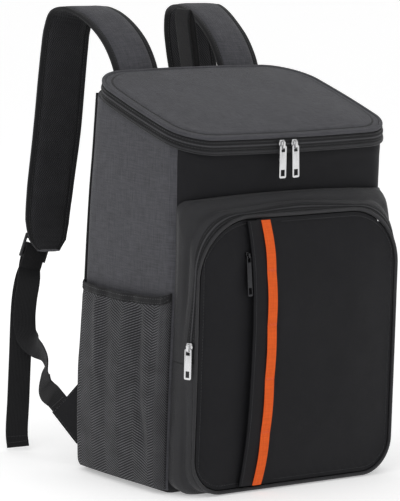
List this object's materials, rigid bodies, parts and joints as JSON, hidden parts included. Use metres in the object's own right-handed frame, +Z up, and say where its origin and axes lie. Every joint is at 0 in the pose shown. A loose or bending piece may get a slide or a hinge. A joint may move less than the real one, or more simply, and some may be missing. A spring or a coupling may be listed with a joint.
{
  "type": "cooler backpack",
  "caption": "Box-shaped insulated backpack with a sloping zipped lid, zipped front pocket, mesh side pockets, padded shoulder straps and a carrying loop.",
  "frame": {"origin": "middle of the underside of the base", "axes": "+X to the right seen from the front, +Y to the wearer's back, +Z up"},
  "size_m": [0.327, 0.3605, 0.4983],
  "materials": {
    "grey_cloth": "woven polyester, dark grey, matt",
    "black_cloth": "woven polyester, black, matt",
    "trim": "woven binding and piping, black",
    "zip": "zip tape with a coil chain, black",
    "mesh": "knitted mesh, dark grey",
    "accent": "woven webbing, orange",
    "webbing": "ribbed webbing, black",
    "buckle": "moulded plastic, black",
    "steel": "plated zip hardware, silver",
    "dark_metal": "plated zip hardware, dark"
  },
  "bodies": {
    "pack": {"front_panel": "black_cloth", "side_panel_left": "grey_cloth", "side_panel_right": "grey_cloth", "back_panel": "black_cloth", "base_panel": "black_cloth", "back_piping_left": "trim", "back_piping_right": "trim", "body_rim": "trim", "lid_panel": "grey_cloth", "lid_piping": "trim", "lid_zip": "zip", "lid_hinge": "zip", "lid_slider_left": "steel", "lid_slider_right": "steel", "pocket_gusset": "black_cloth", "pocket_gusset_lower": "black_cloth", "pocket_zip": "zip", "pocket_piping": "trim", "pocket_panel_left": "black_cloth", "pocket_panel_right": "black_cloth", "pocket_slider": "steel", "placket": "black_cloth", "accent_strap": "accent", "placket_slider": "dark_metal", "mesh_pocket_left": "mesh", "mesh_pocket_right": "mesh", "mesh_hem_left": "trim", "mesh_hem_right": "trim", "shoulder_strap_left": "grey_cloth", "shoulder_strap_right": "grey_cloth", "strap_loop_left": "webbing", "strap_loop_right": "webbing", "buckle_left": "buckle", "buckle_right": "buckle", "lower_webbing_left": "webbing", "lower_webbing_right": "webbing", "strap_tab_left": "black_cloth", "strap_tab_right": "black_cloth", "grab_handle": "webbing"},
    "lid_puller_left": {"lid_puller_left": "steel"},
    "lid_puller_right": {"lid_puller_right": "steel"},
    "pocket_puller": {"pocket_puller": "steel"},
    "placket_puller": {"placket_puller": "dark_metal"}
  },
  "joints": [
    {"name": "lid_left_puller_swing", "type": "hinge", "parent": "pack", "child": "lid_puller_left", "pos_m": [-0.02225, -0.11302, 0.36813], "axis": [-1, 0, 0], "range_deg": [0, 150]},
    {"name": "lid_right_puller_swing", "type": "hinge", "parent": "pack", "child": "lid_puller_right", "pos_m": [-0.00575, -0.11314, 0.3681], "axis": [-0.9992, 0, -0.04], "range_deg": [0, 150]},
    {"name": "pocket_puller_swing", "type": "hinge", "parent": "pack", "child": "pocket_puller", "pos_m": [-0.14206, -0.11435, 0.1602], "axis": [-0.4289, 0.9034, 0], "range_deg": [0, 150]},
    {"name": "placket_puller_swing", "type": "hinge", "parent": "pack", "child": "placket_puller", "pos_m": [-0.0736, -0.12512, 0.25523], "axis": [-1, 0, 0], "range_deg": [0, 150]}
  ]
}
